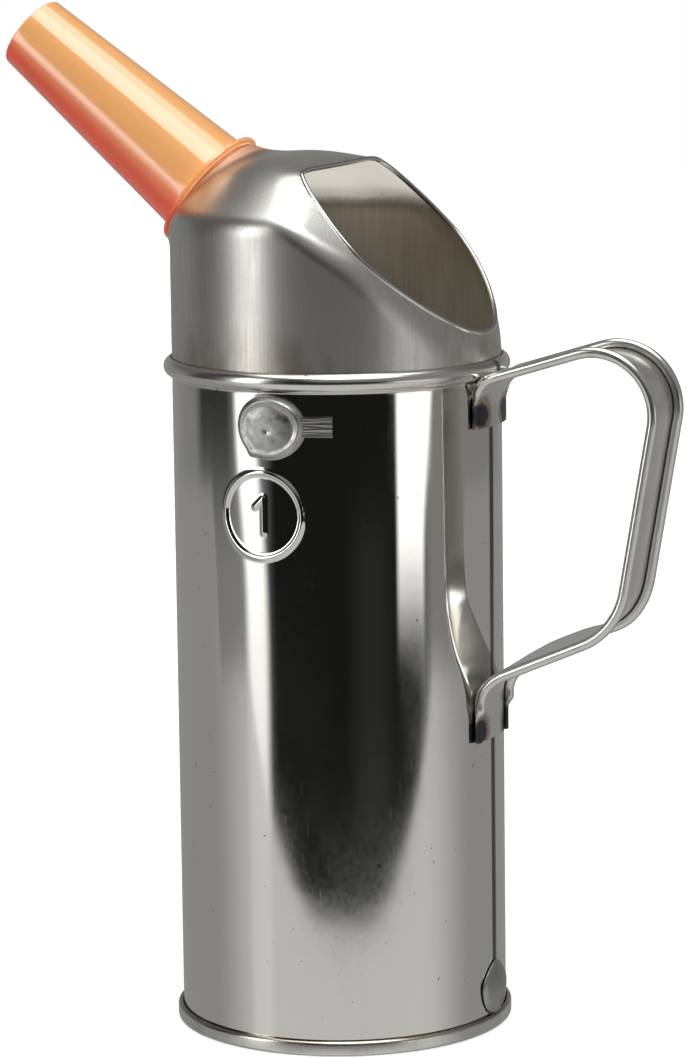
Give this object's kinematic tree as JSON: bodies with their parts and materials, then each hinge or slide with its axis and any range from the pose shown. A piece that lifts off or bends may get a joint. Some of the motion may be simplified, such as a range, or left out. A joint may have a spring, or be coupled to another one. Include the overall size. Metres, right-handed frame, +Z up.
{
  "type": "oil measuring jug",
  "caption": "Tall tinplate measuring jug for oil with a drawn hood, a slanted filling mouth, a strap handle, a level mark and a pull-off pouring nozzle.",
  "frame": {"origin": "on the floor, midway between the nozzle's tip and the handle's grip, 0.7 mm from the axis of the round body", "axes": "+Z up along the body's axis, +X towards the handle, -X towards the nozzle, -Y towards the measuring mark"},
  "size_m": [0.19, 0.0928, 0.2748],
  "materials": {
    "body_shell": "bright tinplate with fine scratches",
    "base_cap": "tinplate",
    "base_solder": "dull solder",
    "rim_solder": "dull solder",
    "hood": "satin drawn tinplate",
    "nozzle": "glossy, slightly translucent orange",
    "handle_strap": "bright tinplate, dark heat marks at the spot welds",
    "level_bar": "tinned",
    "level_seal": "dull solder",
    "seam_seal": "dull solder"
  },
  "bodies": {
    "jug": {"body_shell": "body_shell", "base_cap": "base_cap", "base_solder": "base_solder", "rim_solder": "rim_solder", "hood": "hood", "handle_strap": "handle_strap", "level_bar": "level_bar", "level_seal": "level_seal", "seam_seal": "seam_seal"},
    "nozzle": {"nozzle": "nozzle"}
  },
  "joints": [
    {"name": "nozzle_pull", "type": "slide", "parent": "jug", "child": "nozzle", "axis": [-0.7837, 0, 0.6211], "range_m": [0, 0.03]}
  ]
}
